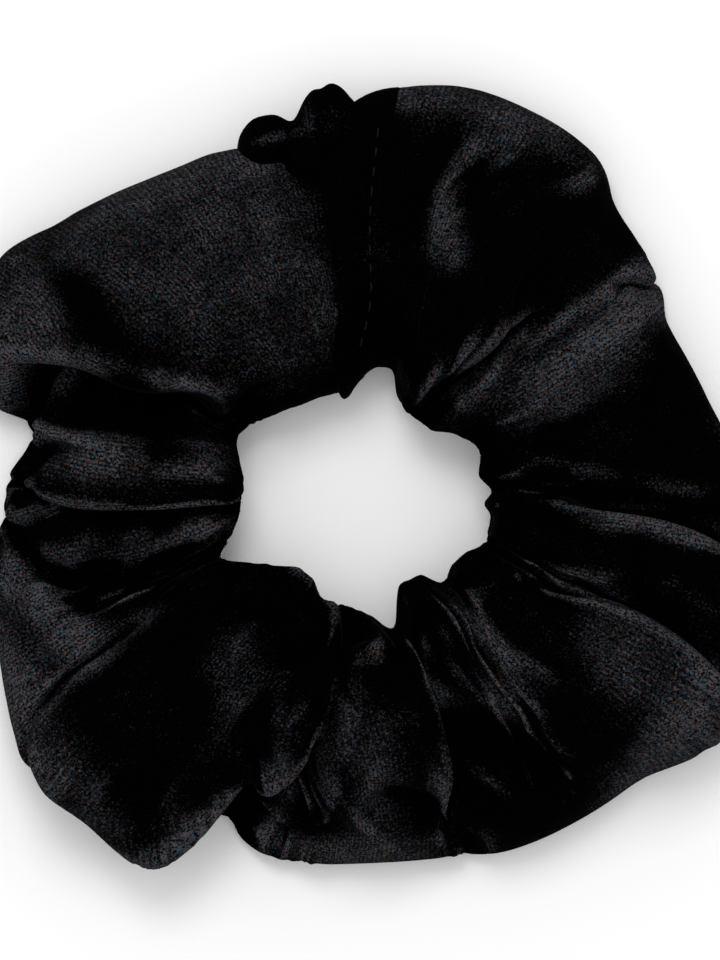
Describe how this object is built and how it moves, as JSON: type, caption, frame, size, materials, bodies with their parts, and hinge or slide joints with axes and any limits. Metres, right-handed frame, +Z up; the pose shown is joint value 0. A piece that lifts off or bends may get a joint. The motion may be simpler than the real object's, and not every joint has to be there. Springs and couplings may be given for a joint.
{
  "type": "scrunchie",
  "caption": "Stretch-velvet hair scrunchie: a gathered cloth tube on a sewn elastic loop, lying flat; it stretches open and springs back.",
  "frame": {"origin": "middle of the ring, on the surface it lies on", "axes": "+Z up through the hair opening, +Y towards the closing seam, +X the way it is pulled open"},
  "size_m": [0.1207, 0.1207, 0.0257],
  "materials": {
    "velvet": "matte",
    "cloth_back": "matte",
    "elastic": "matte",
    "thread": "satin"
  },
  "bodies": {
    "left_half": {"elastic_band": "elastic", "elastic_stitches": "thread", "cover_puff_08": "velvet", "cover_puff_09": "velvet", "cover_puff_10": "velvet", "cover_puff_11": "velvet", "cover_puff_12": "velvet", "cover_puff_13": "velvet", "closing_tuck": "velvet", "tucked_end": "cloth_back", "closing_seam_thread": "thread", "seam_allowance_left": "cloth_back", "long_seam_thread_left": "thread"},
    "right_half": {"cover_puff_01": "velvet", "cover_puff_02": "velvet", "cover_puff_03": "velvet", "cover_puff_04": "velvet", "cover_puff_05": "velvet", "cover_puff_06": "velvet", "cover_puff_07": "velvet", "seam_allowance_right": "cloth_back", "long_seam_thread_right": "thread"}
  },
  "joints": [
    {"name": "stretch", "type": "slide", "parent": "left_half", "child": "right_half", "axis": [1, 0, 0], "range_m": [0, 0.08], "stiffness_N_per_m": 85, "deforming": ["elastic_band"]}
  ]
}
